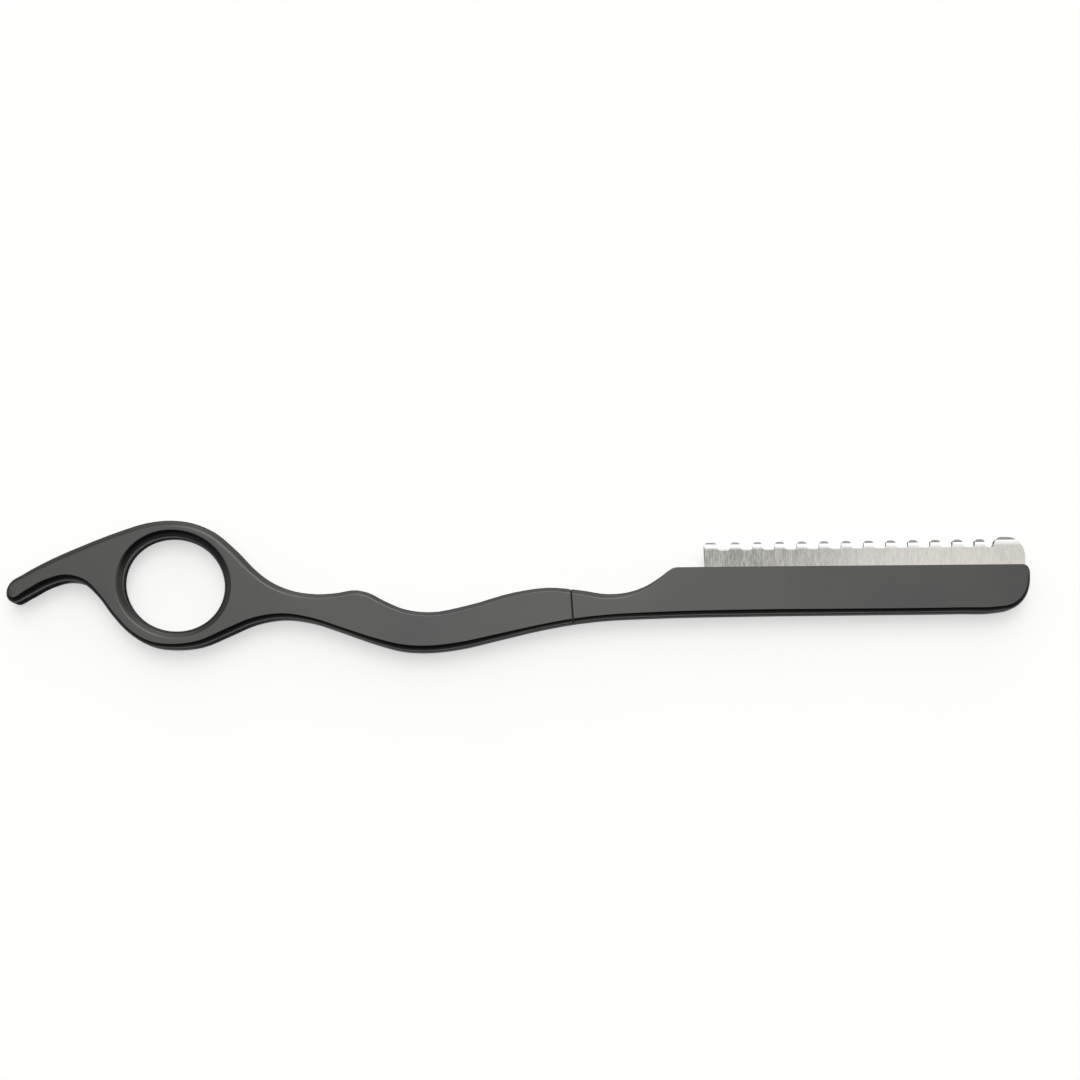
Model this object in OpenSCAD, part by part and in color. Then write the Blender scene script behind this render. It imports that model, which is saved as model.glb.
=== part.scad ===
// Hair thinning and texturing razor with a folded comb guard.
// A slim metal handle carries a finger ring and a curved tang. Its head is split
// into a rear half, one piece with the handle, and a front cover that swings
// down about a hidden pivot at the tip. Between them sit a blade on two pins
// and a comb guard folded from sheet, which pulls off towards the teeth.
// Millimetres. X runs along the tool towards the head, Y towards the teeth,
// Z out of the front face. The flat back lies on z = 0.

/* [Body] */
// thickness of the handle and of the closed head
body_t = 5.6; // [5:0.1:7]
// height at which the head splits into rear half and cover
split_z = 3.55; // [3:0.05:4]
// gap between the rear half and the cover
split_gap = 0.1; // [0.05:0.05:0.2]
// long half axis of the finger hole at the face
hole_a = 13.95; // [11:0.05:15]
// short half axis of the finger hole at the face
hole_b = 12.75; // [10:0.05:14]
// how far the finger hole's long axis leans
hole_lean = -25; // [-60:1:60]
// width of the bevel round the finger hole
hole_round = 1.9; // [0.5:0.1:2.2]

/* [Head] */
// rise of the head's upper edge
head_tilt = 0.52; // [0:0.01:2]
// height of the floor under the guard's rear leg
slot_z = 1.85; // [1.5:0.05:2.2]
// depth of the guard's slot below the head's upper edge
slot_d = 2.6; // [2:0.1:3.2]
// height of the ledge that carries the blade
ledge_z = 2.6; // [2.2:0.05:3]
// depth of the blade's recess below the head's upper edge
recess_d = 4.45; // [4:0.05:5.5]

/* [Blade] */
// length of the blade
blade_l = 63.8; // [55:0.1:66]
// height of the blade
blade_h = 10; // [8:0.1:11]
// thickness of the blade
blade_t = 0.25; // [0.1:0.01:0.4]
// how far the blade's edge stands above the head
blade_out = 5.7; // [4:0.1:6.5]
// height of the ground bevel at the edge
bevel_h = 0.9; // [0.3:0.1:2]
// diameter of the two locating pins
locate_d = 1.4; // [1:0.1:2]
// distance from the blade's end to each pin
locate_in = 10; // [5:0.5:20]

/* [Guard] */
// thickness of the guard's sheet
sheet_t = 0.4; // [0.3:0.05:0.6]
// outer radius of the fold along the teeth
bead_r = 1.35; // [0.8:0.05:1.5]
// how far the fold's centre lies behind the middle of the legs
bead_back = 0.25; // [0:0.05:0.35]
// height above the head at which the legs start to spread to the fold
spread_from = 0.9; // [0.5:0.1:3]
// height of the tooth tips above the head
tooth_top = 6.55; // [5:0.05:8]
// width of a tooth
tooth_w = 2.35; // [1.5:0.05:3.5]
// distance from tooth to tooth
tooth_pitch = 5.26; // [4:0.01:7]
// how far the round end tooth stands above the others
end_up = 0.5; // [0:0.05:1]
// number of teeth between the end teeth
tooth_n = 12; // [6:1:14]
// depth of the slots between the teeth
gap_d = 2.2; // [1:0.1:4]
// rounding at the bottom of each slot
gap_r = 0.9; // [0.3:0.05:1.4]
// how far the guard's legs reach into the head
leg_in = 2.35; // [1.5:0.05:3]
// how far the guard's fold leans from the head's upper edge
guard_lean = 0.26; // [0:0.02:0.3]

/* [Pivot] */
// position of the pivot along the tool
pivot_x = 113.2; // [108:0.1:116]
// position of the pivot across the tool
pivot_y = -2.2; // [-3.5:0.1:0]
// diameter of the pivot post
post_d = 3; // [2:0.1:4]
// diameter of the post's seat in the cover
seat_d = 2.2; // [1.5:0.1:3]
// diameter of the screw head at the back
screw_d = 4.2; // [3:0.1:5]
// radius at which the stop pin runs
stop_r = 3.2; // [2.8:0.1:4]
// diameter of the stop pin
stop_d = 1.2; // [0.8:0.1:1.6]
// opening angle of the cover
swing = 90; // [45:1:100]

/* [Closure] */
// diameter of the two closing magnets
magnet_d = 4; // [3:0.1:4.5]
// position of the magnets along the tool
magnet_x = 28; // [20:0.5:36]
// position of the magnets across the tool
magnet_y = -4.6; // [-6:0.1:-3]

/* [Hidden] */
$fn = 64;
e = 0.5;                            // overshoot of every cutter
cover_z = split_z + split_gap;      // underside of the cover
fold_z = (slot_z + cover_z) / 2;    // mid plane of guard and blade
leg_gap = 0.1;                      // play of the guard's legs in the slot
leg_z0 = slot_z + leg_gap;
leg_z1 = cover_z - leg_gap;
blade_z = ledge_z + 0.02;
corner = [36.3, 3.75];              // upper left corner of the head
guard_s0 = 7.65;                    // guard's left end, along the head
guard_s1 = 83.3;                    // guard's right end
end_w = 2.95;                       // width of the first tooth
tooth_s0 = 14.95;                   // centre of the first regular tooth
last_w = 7.2;                       // width of the round end tooth
last_s = guard_s1 - last_w - 0.6;   // where the higher fold of the end tooth starts
blade_s0 = 8.5;                     // blade's left end, along the head
steps = 4;                          // spline steps from point to point
// section of each broken edge from the wall to the face: [share of its width, share of its depth]
edge = [[0, 1], [0.1, 0.62], [0.3, 0.36], [0.6, 0.15], [0.9, 0.018], [1, 0]];
groove_end = asin((stop_d / 2 + 0.03) / stop_r);  // room for half the stop pin at each end

// The outline from the head's upper left corner along the neck, grip, ring and
// tang and back below to the head's tip: [x, y, width of the edge rounding].
upper = [
    [37.2, 3.85, 0.15], [36.3, 3.7, 0.15], [35.5, 3.25, 0.15], [33, 1.4, 0.3],
    [29.5, -0.7, 0.7], [25.5, -2, 1.2], [21, -2.4, 1.4], [14.5, -1.5, 1.3],
    [7, -0.9, 1.1], [-1, -2, 1.1], [-12, -5.1, 1.1], [-21, -6.7, 1.1], [-27, -5.9, 1.1],
    [-31.5, -4, 1.2], [-35, -2.2, 1.2], [-38, -1.5, 1.2], [-43, -2.2, 1.2], [-48, -2.4, 1.3],
    [-53.5, -1.5, 1.4], [-58.5, 0.7, 1.5], [-62, 3.4, 1.5], [-67, 8.4, 1.6],
    [-72, 12.4, 1.6], [-77, 14.5, 1.6], [-82, 15.2, 1.6], [-88, 14.6, 1.6],
    [-94, 12.7, 1.5], [-103, 9.1, 1.5], [-111, 5.4, 1.4], [-116.5, 2.2, 1.1],
    [-119.2, 0.3, 0.9], [-120, -1.8, 0.8]
];
lower = [
    [-119.7, -3.4, 0.9], [-118.3, -4.5, 1.2], [-115, -3.1, 1.6], [-110.5, -0.6, 1.7],
    [-106, 0.7, 1.5], [-102.5, 0.2, 1.1], [-98.5, -3, 0.8], [-95, -7.4, 0.8],
    [-91, -11.5, 0.8], [-86, -14.5, 1], [-80, -15.3, 1.1], [-74, -14.6, 1.3],
    [-67.5, -11.9, 1.5], [-61.5, -9.3, 1.4], [-55, -8.2, 1.2], [-48.5, -9, 1],
    [-41, -11.4, 1], [-33.5, -14, 1.2], [-27, -15.7, 1.4], [-22, -16, 1.4],
    [-14, -15.2, 1.4], [-5, -13.1, 1.2], [5, -10.7, 1], [12.5, -9.3, 1], [20, -8.4, 1],
    [31, -7.85, 1.1], [55, -7.3, 1.2], [80, -7, 1.1], [104, -6.7, 1.1], [112, -6.5, 1.1],
    [116, -5.6, 1], [118.5, -3.4, 0.9], [119.7, -0.7, 0.8], [120, 1.8, 0.6],
    [119.9, 3.3, 0.35], [119.4, 4.2, 0.2], [118.4, 4.6, 0.15]
];
cover_from = 9;                     // last point of upper the cover's blank takes
cover_to = 22;                      // first point of lower the cover's blank takes

// ---- outline and edge rounding ----

function flat(p) = [p[0], p[1]];
function gap(p, q) = norm(flat(q) - flat(p));
function slope(p, q, r) =
    let (a = gap(p, q), b = gap(q, r)) ((q - p) / a * b + (r - q) / b * a) / (a + b);
function tangent(c, i) =
    i == 0 ? (c[1] - c[0]) / gap(c[0], c[1])
    : i == len(c) - 1 ? (c[i] - c[i - 1]) / gap(c[i - 1], c[i])
    : slope(c[i - 1], c[i], c[i + 1]);
function between(c, i, t) =
    let (p = c[i], q = c[i + 1], d = gap(p, q))
    p * (1 - 3 * t * t + 2 * t * t * t) + q * (3 * t * t - 2 * t * t * t)
    + tangent(c, i) * d * (t - 2 * t * t + t * t * t)
    + tangent(c, i + 1) * d * (t * t * t - t * t);
function spline(c) = [
    for (i = [0 : len(c) - 2], k = [0 : steps - 1]) between(c, i, k / steps),
    c[len(c) - 1]
];
function head(list, n) = [for (i = [0 : n]) list[i]];
function tail(list, n) = [for (i = [n : len(list) - 1]) list[i]];

// outward vector at each point of a closed outline, long enough for its corner
function side(p, q) = let (d = flat(q) - flat(p)) [d[1], -d[0]] / norm(d);
function outward(c) = let (n = len(c)) [
    for (i = [0 : n - 1])
        let (a = side(c[(i + n - 1) % n], c[i]), b = side(c[i], c[(i + 1) % n]))
        (a + b) / (1 + a * b)
];
function ring(c, out, z, share, drop) = [
    for (i = [0 : len(c) - 1])
        let (w = c[i][2], p = flat(c[i]) - out[i] * w * share)
        [p[0], p[1], z - drop * (0.45 + w / 2) * min(1, w / 0.3)]
];

// a slab with the outline c from z0 to z1 whose edges are rounded over
function at_x(c, x) = [for (i = [0 : len(c) - 1]) if (c[i][0] == x) i][0];
// triangles across an outline, walking its upper and lower side to the left together
function ladder(c) =
    let (n = len(c), xs = [for (p = c) p[0]], r = at_x(c, max(xs)), l = at_x(c, min(xs)),
        above = (l - r + n) % n, below = n - above)
    [for (a = 0, b = 0, up = true; a < above || b < below;
        up = b >= below || (a < above && c[(r + a + 1) % n][0] >= c[(r - b - 1 + n) % n][0]),
        tri = up ? [(r + a) % n, (r + a + 1) % n, (r - b + n) % n]
            : [(r + a) % n, (r - b - 1 + n) % n, (r - b + n) % n],
        a = up ? a + 1 : a, b = up ? b : b + 1)
        if (a + b > 1) tri];
module slab(c, z0, z1, round_back = true) {
    n = len(c);
    out = outward(c);
    back = round_back
        ? [for (k = [len(edge) - 1 : -1 : 0]) ring(c, out, z0, edge[k][0], -edge[k][1])]
        : [ring(c, out, z0, 0, 0)];
    front = [for (k = edge) ring(c, out, z1, k[0], k[1])];
    rings = concat(back, front);
    m = len(rings);
    tris = ladder(c);
    polyhedron(
        points = [for (r = rings, p = r) p],
        faces = concat(
            tris,
            [for (t = tris) [for (i = [2, 1, 0]) (m - 1) * n + t[i]]],
            [for (r = [0 : m - 2], i = [0 : n - 1], h = [0, 1])
                let (a = r * n + i, b = r * n + (i + 1) % n)
                h == 0 ? [a, a + n, b + n] : [a, b + n, b]]),
        convexity = 10);
}

// the finger hole, flared at both faces
module finger_hole() {
    n = 72;
    up = [for (k = edge) [hole_round * k[0], body_t - hole_round * k[1]]];
    profile = concat(
        [[hole_round, -e]],
        [for (k = [len(edge) - 1 : -1 : 0]) [up[k][0], body_t - up[k][1]]],
        up, [[hole_round, body_t + e]]);
    m = len(profile);
    translate([-80.95, -0.05, 0]) rotate([0, 0, hole_lean])
        polyhedron(
            points = [for (p = profile, i = [0 : n - 1])
                [(hole_a - hole_round + p[0]) * cos(i * 360 / n),
                 (hole_b - hole_round + p[0]) * sin(i * 360 / n), p[1]]],
            faces = concat(
                [[for (i = [0 : n - 1]) i]],
                [[for (i = [n - 1 : -1 : 0]) (m - 1) * n + i]],
                [for (r = [0 : m - 2], i = [0 : n - 1], h = [0, 1])
                    let (a = r * n + i, b = r * n + (i + 1) % n)
                    h == 0 ? [a, a + n, b + n] : [a, b + n, b]]),
            convexity = 6);
}

// ---- frames ----

// along the head's upper edge: x from its left corner, y up from the edge
module in_head() translate([corner[0], corner[1], 0]) rotate([0, 0, head_tilt]) children();
module at_pivot() translate([pivot_x, pivot_y, 0]) children();

// everything beyond the parting line, moved on by d
module beyond_parting(z0, d) translate([d, 0, z0])
    linear_extrude(body_t) polygon([[11.835, 1], [12.685, -12], [140, -12], [140, 12], [11.835, 12]]);

// ---- handle and rear half of the head ----

module handle_body() color([0.12, 0.12, 0.13]) difference() {
    slab(concat(spline(concat(upper, lower))), 0, body_t);
    finger_hole();
    beyond_parting(split_z, 0);
    in_head() {
        translate([guard_s0 - 0.2, -slot_d, slot_z]) cube([90, 10, body_t]);
        translate([blade_s0 - 0.2, -recess_d, ledge_z])
            cube([blade_l + 0.4, recess_d - slot_d + e, body_t]);
        for (s = [locate_in, blade_l - locate_in])
            translate([blade_s0 + s, -recess_d + 1.15, 1.4]) cylinder(d = locate_d, h = body_t);
    }
    at_pivot() {
        translate([0, 0, -e]) cylinder(d = post_d + 0.08, h = body_t + 2 * e);
        translate([0, 0, -e]) cylinder(d = screw_d + 0.6, h = 1.5 + e);
        translate([0, 0, split_z - 0.25]) cylinder(d = post_d + 1.9, h = body_t);
        translate([-stop_r, 0, 1.6]) cylinder(d = stop_d, h = body_t);
    }
    translate([magnet_x, magnet_y, split_z - 1.55]) cylinder(d = magnet_d, h = body_t);
}

// ---- front cover ----

module front_cover() color([0.13, 0.13, 0.14]) difference() {
    slab(spline_cover(), cover_z, body_t, false);
    translate([0, 0, cover_z - e]) linear_extrude(body_t)
        polygon([[-20, -20], [13.66, -20], [12.02, 5], [-20, 5]]);
    at_pivot() {
        translate([0, 0, cover_z - e]) cylinder(d = seat_d, h = 1.2 + e);
        // arc groove for the stop pin
        rotate([0, 0, 180 - swing - groove_end]) translate([0, 0, cover_z - e])
            rotate_extrude(angle = swing + 2 * groove_end)
                translate([stop_r - stop_d / 2 - 0.08, 0]) square([stop_d + 0.16, 1.05 + e]);
    }
    translate([magnet_x, magnet_y, cover_z - e]) cylinder(d = magnet_d, h = 1.05 + e);
}
function spline_cover() =
    let (line = spline(concat(upper, lower)), n = len(upper))
    concat(head(line, cover_from * steps), tail(line, (n + cover_to) * steps));

// ---- comb guard ----

// where a line from a leg at height h above the fold's centre meets the fold of radius r
function touch(r, h, d) =
    let (a = asin(r / norm([d, h])) - atan2(h, d)) [d - (r - 0.004) * sin(a), (r - 0.004) * cos(a)];
module legs_and_fold(top, inset, over) {
    r = bead_r - inset;
    z = fold_z - bead_back;
    d = top - bead_r - spread_from;
    h0 = z - leg_z0 - inset;
    h1 = leg_z1 - z - inset;
    front = touch(r, h1, d);
    rear = touch(r, h0, d);
    translate([top - bead_r, z]) circle(r);
    translate([spread_from, z]) polygon([
        [-leg_in - spread_from - over, -h0], [0, -h0], [rear[0], -rear[1]], [d, 0],
        [front[0], front[1]], [0, h1], [-leg_in - spread_from - over, h1]]);
}
module folded(s0, s1, top) translate([s0, 0, 0]) rotate([90, 0, 90]) linear_extrude(s1 - s0)
    difference() {
        legs_and_fold(top, 0, 0);
        legs_and_fold(top, sheet_t, 1);
    }
module round_top(s0, s1, top, r0, r1) {
    // a cutter that rounds the upper corners of one tooth
    difference() {
        translate([s0 - 0.01, top - r0]) square([r0 + 0.01, r0 + 1]);
        translate([s0 + r0, top - r0]) circle(r0);
    }
    difference() {
        translate([s1 - r1, top - r1]) square([r1 + 0.01, r1 + 1]);
        translate([s1 - r1, top - r1]) circle(r1);
    }
}
module gap_cut(s0, s1) {
    r = min((s1 - s0) / 2 - 0.05, gap_r);
    translate([s0, tooth_top - gap_d + r]) square([s1 - s0, gap_d + 1]);
    translate([s0 + r, tooth_top - gap_d]) square([s1 - s0 - 2 * r, gap_d]);
    for (s = [s0 + r, s1 - r]) translate([s, tooth_top - gap_d + r]) circle(r);
}
function tooth_s(i) = tooth_s0 + i * tooth_pitch;
module comb_outline() difference() {
    translate([guard_s0, -leg_in]) square([guard_s1 - guard_s0, leg_in + tooth_top + end_up]);
    gap_cut(guard_s0 + end_w, tooth_s(0) - tooth_w / 2);
    for (i = [0 : tooth_n - 2]) gap_cut(tooth_s(i) + tooth_w / 2, tooth_s(i + 1) - tooth_w / 2);
    gap_cut(tooth_s(tooth_n - 1) + tooth_w / 2, guard_s1 - last_w);
    round_top(guard_s0, guard_s0 + end_w, tooth_top, 1.1, 1.1);
    for (i = [0 : tooth_n - 1])
        round_top(tooth_s(i) - tooth_w / 2, tooth_s(i) + tooth_w / 2, tooth_top, 1.12, 1.12);
    round_top(guard_s1 - last_w, guard_s1, tooth_top + end_up, 2.4, 4.7);
}
module comb_guard() color([0.78, 0.77, 0.74]) in_head()
    translate([(guard_s0 + guard_s1) / 2, 0, 0]) rotate([0, 0, guard_lean])
        translate([-(guard_s0 + guard_s1) / 2, 0, 0]) intersection() {
            union() {
                folded(guard_s0, last_s, tooth_top);
                folded(last_s, guard_s1, tooth_top + end_up);
            }
            linear_extrude(body_t) comb_outline();
        }

// ---- blade and what holds it ----

module razor_blade() color([0.7, 0.71, 0.73]) in_head() difference() {
    translate([blade_s0, 0, 0]) rotate([90, 0, 90]) linear_extrude(blade_l) polygon([
        [blade_out - blade_h, blade_z], [blade_out - bevel_h, blade_z],
        [blade_out, blade_z + blade_t / 2], [blade_out - bevel_h, blade_z + blade_t],
        [blade_out - blade_h, blade_z + blade_t]]);
    for (s = [locate_in, blade_l - locate_in]) translate([blade_s0 + s, -recess_d + 1.15, 2]) {
        cylinder(d = locate_d + 0.1, h = 2);
        translate([-(locate_d + 0.1) / 2, -3, 0]) cube([locate_d + 0.1, 3, 2]);
    }
}
module blade_clamp() color([0.62, 0.62, 0.6]) in_head() difference() {
    translate([blade_s0 + 0.6, blade_out - blade_h, 2.89])
        cube([blade_l - 1.2, recess_d - slot_d - 0.15, 0.61]);
    for (s = [locate_in, blade_l - locate_in])
        translate([blade_s0 + s, -recess_d + 1.15, 2]) cylinder(d = locate_d + 0.06, h = 2);
}
module locating_pin(s) color([0.75, 0.72, 0.6]) in_head()
    translate([blade_s0 + s, -recess_d + 1.15, 1.4]) cylinder(d = locate_d, h = 2.05);
module locating_pin_left() locating_pin(locate_in);
module locating_pin_right() locating_pin(blade_l - locate_in);

// ---- pivot ----

module pivot_post() color([0.7, 0.7, 0.7]) at_pivot() difference() {
    union() {
        translate([0, 0, 1.1]) cylinder(d = post_d, h = cover_z - 1.1);
        translate([0, 0, cover_z - 0.1]) cylinder(d = seat_d, h = 1.3);
    }
    translate([0, 0, 0.5]) cylinder(d = 1.6, h = 2.9);
}
module pivot_screw() color([0.6, 0.6, 0.6]) at_pivot() difference() {
    union() {
        translate([0, 0, 0.3]) cylinder(d = screw_d, h = 0.8);
        translate([0, 0, 0.9]) cylinder(d = 1.6, h = 2.3);
    }
    translate([-screw_d, -0.3, -0.3]) cube([2 * screw_d, 0.6, 1]);
}
module spring_washer() color([0.55, 0.5, 0.4]) at_pivot() difference() {
    translate([0, 0, 1.12]) cylinder(d = 4.4, h = 0.36);
    translate([0, 0, 0]) cylinder(d = post_d + 0.1, h = 3);
}
module bearing_washer() color([0.8, 0.65, 0.35]) at_pivot() difference() {
    translate([0, 0, split_z - 0.24]) cylinder(d = post_d + 1.7, h = 0.32);
    translate([0, 0, 2]) cylinder(d = post_d + 0.1, h = 3);
}
module stop_pin() color([0.75, 0.75, 0.75]) at_pivot()
    translate([-stop_r, 0, 1.6]) cylinder(d = stop_d, h = 2.95);

// ---- closing magnets ----

module rear_magnet() color([0.7, 0.7, 0.72])
    translate([magnet_x, magnet_y, split_z - 1.55]) cylinder(d = magnet_d, h = 1.5);
module cover_magnet() color([0.7, 0.7, 0.72])
    translate([magnet_x, magnet_y, cover_z + 0.05]) cylinder(d = magnet_d, h = 1);

handle_body();
front_cover();
comb_guard();
razor_blade();
blade_clamp();
locating_pin_left();
locating_pin_right();
pivot_post();
pivot_screw();
spring_washer();
bearing_washer();
stop_pin();
rear_magnet();
cover_magnet();
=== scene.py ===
# Thinning razor comb: materials, finish detail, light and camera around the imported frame.
import math

import bmesh
import bpy
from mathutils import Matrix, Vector


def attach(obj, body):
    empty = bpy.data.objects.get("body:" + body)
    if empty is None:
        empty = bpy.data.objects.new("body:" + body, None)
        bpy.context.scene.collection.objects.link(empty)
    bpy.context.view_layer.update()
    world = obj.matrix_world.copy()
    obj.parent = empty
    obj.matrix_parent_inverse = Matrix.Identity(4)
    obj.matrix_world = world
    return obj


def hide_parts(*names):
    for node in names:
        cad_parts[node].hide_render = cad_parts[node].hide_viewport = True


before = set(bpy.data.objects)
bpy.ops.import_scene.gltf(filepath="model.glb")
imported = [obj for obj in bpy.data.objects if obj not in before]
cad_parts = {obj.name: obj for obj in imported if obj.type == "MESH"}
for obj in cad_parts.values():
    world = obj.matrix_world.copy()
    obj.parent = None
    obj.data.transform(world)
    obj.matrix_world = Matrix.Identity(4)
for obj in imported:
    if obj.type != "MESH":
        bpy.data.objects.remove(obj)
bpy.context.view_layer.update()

MM = 0.001
BODY_T = 5.6 * MM                    # thickness of the closed tool
CORNER = Vector((36.3, 3.75, 0)) * MM  # upper left corner of the head
SHARP = math.radians(32)             # edges that turn more than this stay crisp
WELD = 2e-7                          # mesh points nearer than this, in metres, are joined
TILT = math.radians(0.52)            # rise of the head's upper edge
TOOTH_TOP = 6.5 * MM                 # where the painted dark tooth tips end above the head's edge
PARTING = (12.13 * MM, -0.0655)      # parting line: x where y is 0, and its slope
LEDGE_Z = 3.55 * MM                  # height of the ledge that the cover lies on
END_TOOTH = (111.8 * MM, 0.5 * MM)   # where the round end tooth starts and how much higher it is


# ---------------------------------------------------------------- node helpers

def material(name):
    m = bpy.data.materials.new(name)
    m.use_nodes = True
    nodes, links = m.node_tree.nodes, m.node_tree.links
    nodes.clear()
    out = nodes.new("ShaderNodeOutputMaterial")
    shader = nodes.new("ShaderNodeBsdfPrincipled")
    links.new(shader.outputs[0], out.inputs["Surface"])
    return m, nodes, links, shader


def coords(nodes, links, scale=(1, 1, 1), rotation=(0, 0, 0)):
    tc = nodes.new("ShaderNodeTexCoord")
    mp = nodes.new("ShaderNodeMapping")
    mp.inputs["Scale"].default_value = scale
    mp.inputs["Rotation"].default_value = rotation
    links.new(tc.outputs["Object"], mp.inputs["Vector"])
    return mp.outputs[0]


def noise(nodes, links, vector, scale, detail=3.0, rough=0.5):
    n = nodes.new("ShaderNodeTexNoise")
    n.inputs["Scale"].default_value = scale
    n.inputs["Detail"].default_value = detail
    n.inputs["Roughness"].default_value = rough
    links.new(vector, n.inputs["Vector"])
    return n.outputs["Fac"]


def ramp(nodes, links, value, low, high, to_low, to_high, smooth=False):
    r = nodes.new("ShaderNodeMapRange")
    r.interpolation_type = "SMOOTHSTEP" if smooth else "LINEAR"
    r.inputs["From Min"].default_value = low
    r.inputs["From Max"].default_value = high
    r.inputs["To Min"].default_value = to_low
    r.inputs["To Max"].default_value = to_high
    links.new(value, r.inputs["Value"])
    return r.outputs[0]


def calc(nodes, links, op, a, b):
    m = nodes.new("ShaderNodeMath")
    m.operation = op
    for i, v in enumerate((a, b)):
        if isinstance(v, (int, float)):
            m.inputs[i].default_value = v
        else:
            links.new(v, m.inputs[i])
    return m.outputs[0]


def mix_color(nodes, links, fac, a, b):
    m = nodes.new("ShaderNodeMix")
    m.data_type = "RGBA"
    links.new(fac, m.inputs["Factor"])
    for socket, v in ((m.inputs[6], a), (m.inputs[7], b)):
        if isinstance(v, tuple):
            socket.default_value = (*v, 1)
        else:
            links.new(v, socket)
    return m.outputs[2]


def bump(nodes, links, shader, height, strength, distance):
    b = nodes.new("ShaderNodeBump")
    b.inputs["Strength"].default_value = strength
    b.inputs["Distance"].default_value = distance
    links.new(height, b.inputs["Height"])
    links.new(b.outputs[0], shader.inputs["Normal"])


# ---------------------------------------------------------------- materials

def parting_painted_shade(nodes, links):
    """Painted shade mask: 1 on the ledge at the bottom of the narrow gap between the handle and its cover,
    where shade falls, else 0.
    """
    tc = nodes.new("ShaderNodeTexCoord")
    sep = nodes.new("ShaderNodeSeparateXYZ")
    links.new(tc.outputs["Object"], sep.inputs[0])
    x, y, z = sep.outputs
    line = calc(nodes, links, "MULTIPLY", y, PARTING[1])
    off = calc(nodes, links, "SUBTRACT", calc(nodes, links, "SUBTRACT", x, PARTING[0]), line)
    near = ramp(nodes, links, calc(nodes, links, "ABSOLUTE", off, 0), 0.22 * MM, 0.5 * MM, 1, 0)
    deep = ramp(nodes, links, z, BODY_T - 1.2 * MM, BODY_T - 0.5 * MM, 1, 0)
    ledge = ramp(nodes, links, z, LEDGE_Z - 0.2 * MM, LEDGE_Z - 0.1 * MM, 0, 1)
    return calc(nodes, links, "MULTIPLY", calc(nodes, links, "MULTIPLY", near, deep), ledge)


def black_coat():
    """Satin black coating on metal: a soft even sheen with a faint blasted grain, and painted shade on the
    ledge in the gap at the parting line.
    """
    m, nodes, links, shader = material("black_satin_coat")
    shader.inputs["Metallic"].default_value = 1.0
    shader.inputs["Specular Tint"].default_value = (0.22, 0.22, 0.22, 1)
    v = coords(nodes, links)
    cloud = noise(nodes, links, v, 55, 4)
    grain = noise(nodes, links, v, 2600, 2, 0.6)
    tone = ramp(nodes, links, cloud, 0.3, 0.7, 0, 1)
    color = mix_color(nodes, links, tone, (0.091, 0.091, 0.092), (0.103, 0.103, 0.099))
    # painted shade: the ledge in the gap between handle and cover is painted near black
    color = mix_color(nodes, links, parting_painted_shade(nodes, links), color, (0.03, 0.03, 0.03))
    links.new(color, shader.inputs["Base Color"])
    rough = calc(nodes, links, "ADD", ramp(nodes, links, cloud, 0.3, 0.7, 0.21, 0.25),
                 ramp(nodes, links, grain, 0.3, 0.7, -0.02, 0.03))
    links.new(rough, shader.inputs["Roughness"])
    bump(nodes, links, shader, grain, 0.12, 0.02 * MM)
    return m


def guard_steel():
    """Stainless sheet brushed across the teeth, heavier at one end, with a painted highlight along the
    folded edge and painted dark reflection on the tips.
    """
    m, nodes, links, shader = material("guard_stainless")
    shader.inputs["Metallic"].default_value = 1.0
    v = coords(nodes, links, scale=(1, 0.12, 0.12), rotation=(0, 0, -TILT))
    fine = noise(nodes, links, v, 5200, 3, 0.7)
    broad = noise(nodes, links, v, 1100, 2, 0.5)
    tc = nodes.new("ShaderNodeTexCoord")
    sep = nodes.new("ShaderNodeSeparateXYZ")
    links.new(tc.outputs["Object"], sep.inputs[0])
    x, y = sep.outputs[0], sep.outputs[1]
    # distance above the head's edge, and how heavy the brushing is along the guard
    rise = calc(nodes, links, "SUBTRACT", calc(nodes, links, "SUBTRACT", y, CORNER.y),
                calc(nodes, links, "MULTIPLY", calc(nodes, links, "SUBTRACT", x, CORNER.x), math.tan(TILT)))
    rise = calc(nodes, links, "SUBTRACT", rise,
                ramp(nodes, links, x, END_TOOTH[0] - 0.2 * MM, END_TOOTH[0], 0, END_TOOTH[1]))
    heavy = ramp(nodes, links, x, 46 * MM, 90 * MM, 1.0, 0.2, smooth=True)
    streak = calc(nodes, links, "ADD", calc(nodes, links, "MULTIPLY", fine, 0.75),
                  calc(nodes, links, "MULTIPLY", broad, 0.25))
    depth = calc(nodes, links, "MULTIPLY", ramp(nodes, links, streak, 0.4, 0.6, 0, 1), heavy)
    clean = mix_color(nodes, links, ramp(nodes, links, x, 50 * MM, 104 * MM, 0, 1, smooth=True),
                      (0.475, 0.47, 0.45), (0.71, 0.695, 0.655))
    flat = mix_color(nodes, links, depth, clean, (0.24, 0.24, 0.225))
    # painted highlight: a near-white band painted along the rounded top of the teeth
    fold_highlight = ramp(nodes, links, rise, TOOTH_TOP - 2.2 * MM, TOOTH_TOP - 1.35 * MM, 0, 1, smooth=True)
    flat = mix_color(nodes, links, fold_highlight, flat, (0.93, 0.92, 0.9))
    # painted dark reflection: the very tips of the teeth are painted dark
    tip_shade = ramp(nodes, links, rise, TOOTH_TOP - 0.85 * MM, TOOTH_TOP - 0.6 * MM, 0, 1, smooth=True)
    color = mix_color(nodes, links, tip_shade, flat, (0.3, 0.295, 0.28))
    links.new(color, shader.inputs["Base Color"])
    links.new(ramp(nodes, links, streak, 0.35, 0.65, 0.15, 0.24), shader.inputs["Roughness"])
    bump(nodes, links, shader, streak, 0.25, 0.01 * MM)
    return m


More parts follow.
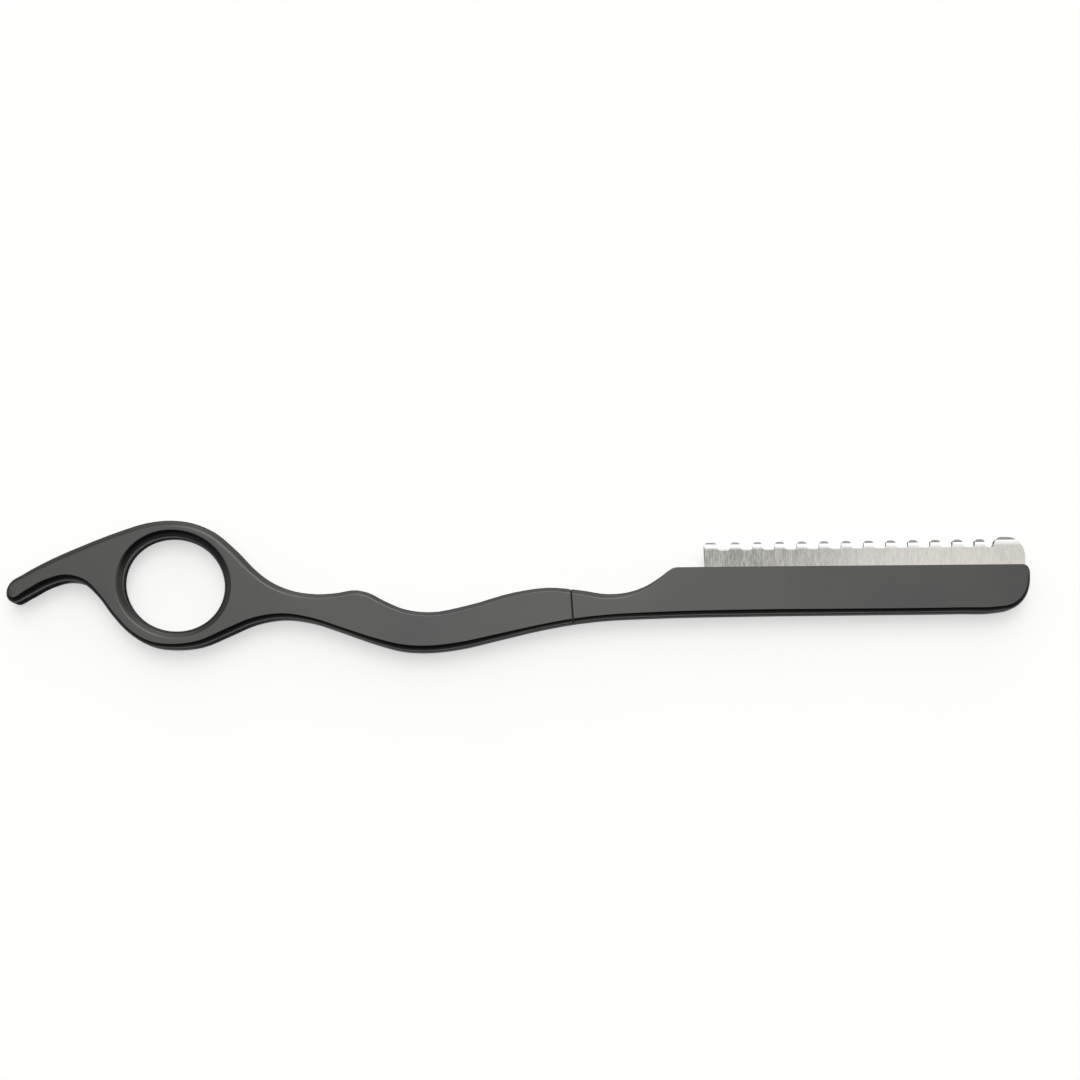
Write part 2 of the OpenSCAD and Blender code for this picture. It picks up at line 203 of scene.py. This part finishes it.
def plain_steel(name, low, high, rough=(0.22, 0.34), lay=(1, 1, 1), scale=2500):
    """Bare metal with the fine lay its machining leaves."""
    m, nodes, links, shader = material(name)
    shader.inputs["Metallic"].default_value = 1.0
    v = coords(nodes, links, scale=lay)
    grain = noise(nodes, links, v, scale, 3, 0.6)
    tone = ramp(nodes, links, grain, 0.3, 0.7, 0, 1)
    links.new(mix_color(nodes, links, tone, low, high), shader.inputs["Base Color"])
    links.new(ramp(nodes, links, grain, 0.3, 0.7, *rough), shader.inputs["Roughness"])
    bump(nodes, links, shader, grain, 0.15, 0.01 * MM)
    return m


COAT = black_coat()
GUARD = guard_steel()
BLADE = plain_steel("blade_ground_steel", (0.6, 0.61, 0.63), (0.74, 0.75, 0.77), (0.12, 0.22),
                    (0.05, 1, 1), 3000)
SPRING = plain_steel("tempered_strip", (0.36, 0.34, 0.29), (0.5, 0.48, 0.43), (0.28, 0.4),
                     (1, 0.1, 1), 1800)
PIN = plain_steel("turned_pin_steel", (0.55, 0.55, 0.55), (0.68, 0.68, 0.67))
SCREW = plain_steel("screw_steel", (0.3, 0.3, 0.31), (0.42, 0.42, 0.43), (0.25, 0.4))
BRASS = plain_steel("washer_brass", (0.62, 0.43, 0.17), (0.74, 0.55, 0.26), (0.25, 0.38))
MAGNET = plain_steel("nickel_plating", (0.6, 0.58, 0.54), (0.7, 0.69, 0.66), (0.1, 0.2))


# ---------------------------------------------------------------- pieces

def finished(node, body, mat):
    """A welded copy of a CAD node with soft shading and crisp sharp edges, which stands for it."""
    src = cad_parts[node]
    mesh = src.data.copy()
    mesh.name = node + "_finish"
    bm = bmesh.new()
    bm.from_mesh(mesh)
    bmesh.ops.remove_doubles(bm, verts=bm.verts, dist=WELD)
    bmesh.ops.dissolve_degenerate(bm, edges=bm.edges, dist=WELD / 2)
    for f in bm.faces:
        f.smooth = True
    for e in bm.edges:
        e.smooth = not (len(e.link_faces) == 2 and e.calc_face_angle(0) > SHARP)
    bm.to_mesh(mesh)
    bm.free()
    mesh.materials.clear()
    mesh.materials.append(mat)
    obj = bpy.data.objects.new(node + "_finish", mesh)
    bpy.context.scene.collection.objects.link(obj)
    w = obj.modifiers.new("normals", "WEIGHTED_NORMAL")
    w.mode = "FACE_AREA"
    w.weight = 100
    w.keep_sharp = True
    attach(obj, body)
    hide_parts(node)


finished("handle_body", "handle", COAT)
finished("front_cover", "cover", COAT)
finished("comb_guard", "guard", GUARD)

for node, mat in {
    "razor_blade": BLADE, "blade_clamp": SPRING, "locating_pin_left": PIN,
    "locating_pin_right": PIN, "pivot_post": PIN, "pivot_screw": SCREW,
    "spring_washer": SPRING, "bearing_washer": BRASS, "stop_pin": PIN,
    "rear_magnet": MAGNET, "cover_magnet": MAGNET,
}.items():
    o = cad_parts[node]
    for s in o.material_slots:
        s.material = mat


# ---------------------------------------------------------------- floor

FLOOR_HALF = 4.0         # half the width of the table's top, in metres
FLOOR_GAP = 0.05 * MM    # how far the table lies below the tool's back
FLOOR_GLOW = 0.54        # its own light, which keeps it near white round the tool


def floor():
    """A plain white table, much wider than the view."""
    mesh = bpy.data.meshes.new("floor")
    r = FLOOR_HALF
    mesh.from_pydata([(-r, -r, 0), (r, -r, 0), (r, r, 0), (-r, r, 0)], [], [(0, 1, 2, 3)])
    obj = bpy.data.objects.new("floor", mesh)
    obj.location.z = -FLOOR_GAP
    bpy.context.scene.collection.objects.link(obj)
    m, nodes, links, shader = material("white_table")
    v = coords(nodes, links)
    n = noise(nodes, links, v, 35, 3)
    tone = ramp(nodes, links, n, 0.3, 0.7, 0, 1)
    links.new(mix_color(nodes, links, tone, (0.845, 0.845, 0.84), (0.855, 0.855, 0.85)),
              shader.inputs["Base Color"])
    shader.inputs["Roughness"].default_value = 0.85
    shader.inputs["Specular IOR Level"].default_value = 0.15
    shader.inputs["Emission Color"].default_value = (1.0, 1.0, 0.995, 1)
    shader.inputs["Emission Strength"].default_value = FLOOR_GLOW
    mesh.materials.append(m)


floor()


# ---------------------------------------------------------------- light

SKY = 1.15          # strength of the whole tent
FRONT_WALL = 0.13   # share of it that comes from low down in front
AMBIENT = 0.015     # share of it that comes from everywhere


def sky():
    """A soft white tent: bright overhead and behind the teeth, dim in front and towards the ends."""
    world = bpy.data.worlds.new("tent")
    bpy.context.scene.world = world
    world.use_nodes = True
    nodes, links = world.node_tree.nodes, world.node_tree.links
    nodes.clear()
    out = nodes.new("ShaderNodeOutputWorld")
    tc = nodes.new("ShaderNodeTexCoord")
    sep = nodes.new("ShaderNodeSeparateXYZ")
    links.new(tc.outputs["Generated"], sep.inputs[0])
    x, y, z = sep.outputs

    def dot(a):
        s = calc(nodes, links, "MULTIPLY", x, a[0])
        s = calc(nodes, links, "ADD", s, calc(nodes, links, "MULTIPLY", y, a[1]))
        return calc(nodes, links, "ADD", s, calc(nodes, links, "MULTIPLY", z, a[2]))

    # an overhead tent: cut off just in front of the zenith, dimmer half way down and towards the ends
    front = ramp(nodes, links, y, -0.28, 0.02, 0, 1.0, smooth=True)
    high = ramp(nodes, links, z, 0.5, 0.9, 0.6, 1.0, smooth=True)
    off = calc(nodes, links, "ABSOLUTE", x, 0)
    ends = calc(nodes, links, "MULTIPLY", ramp(nodes, links, off, 0.0, 0.17, 1.12, 0.93, smooth=True),
                ramp(nodes, links, off, 0.15, 0.75, 1.0, 0.35, smooth=True))
    peak = ramp(nodes, links, dot((0, 0.53, 0.848)), 0.93, 0.985, 0, 1.05, smooth=True)
    # pale walls low down, faint at the front
    wall = ramp(nodes, links, z, 0.1, 0.55, 0.35, 0, smooth=True)
    faint = ramp(nodes, links, z, 0.35, 0.8, FRONT_WALL, 0, smooth=True)
    total = calc(nodes, links, "MULTIPLY", calc(nodes, links, "MULTIPLY", front, ends),
                 calc(nodes, links, "ADD", calc(nodes, links, "ADD", high, peak), wall))
    total = calc(nodes, links, "ADD", total, calc(nodes, links, "ADD", faint, AMBIENT))
    glow = nodes.new("ShaderNodeBackground")
    glow.inputs["Color"].default_value = (1.0, 0.995, 0.98, 1)
    links.new(calc(nodes, links, "MULTIPLY", total, SKY), glow.inputs["Strength"])
    plain = nodes.new("ShaderNodeBackground")
    plain.inputs["Color"].default_value = (0.93, 0.93, 0.925, 1)
    path = nodes.new("ShaderNodeLightPath")
    mix = nodes.new("ShaderNodeMixShader")
    links.new(path.outputs["Is Camera Ray"], mix.inputs[0])
    links.new(glow.outputs[0], mix.inputs[1])
    links.new(plain.outputs[0], mix.inputs[2])
    links.new(mix.outputs[0], out.inputs["Surface"])


sky()


# ---------------------------------------------------------------- camera

VIEW_TILT = math.radians(10.7)   # how far the view leans from straight down
DISTANCE = 365.6 * MM            # from the lens to the point looked at
FOCAL = 51.8                     # in mm, on the 36 mm sensor
NEAR = 10 * MM                   # nothing closer to the lens is drawn
target = Vector((5 * MM, 10.3 * MM, BODY_T))
cam = bpy.data.cameras.new("camera")
cam.sensor_width = 36
cam.lens = FOCAL
cam.clip_start = NEAR
eye = bpy.data.objects.new("camera", cam)
eye.location = target + DISTANCE * Vector((0, -math.sin(VIEW_TILT), math.cos(VIEW_TILT)))
eye.rotation_euler = (VIEW_TILT, 0, 0)
bpy.context.scene.collection.objects.link(eye)
bpy.context.scene.camera = eye
bpy.context.scene.view_settings.view_transform = "Standard"
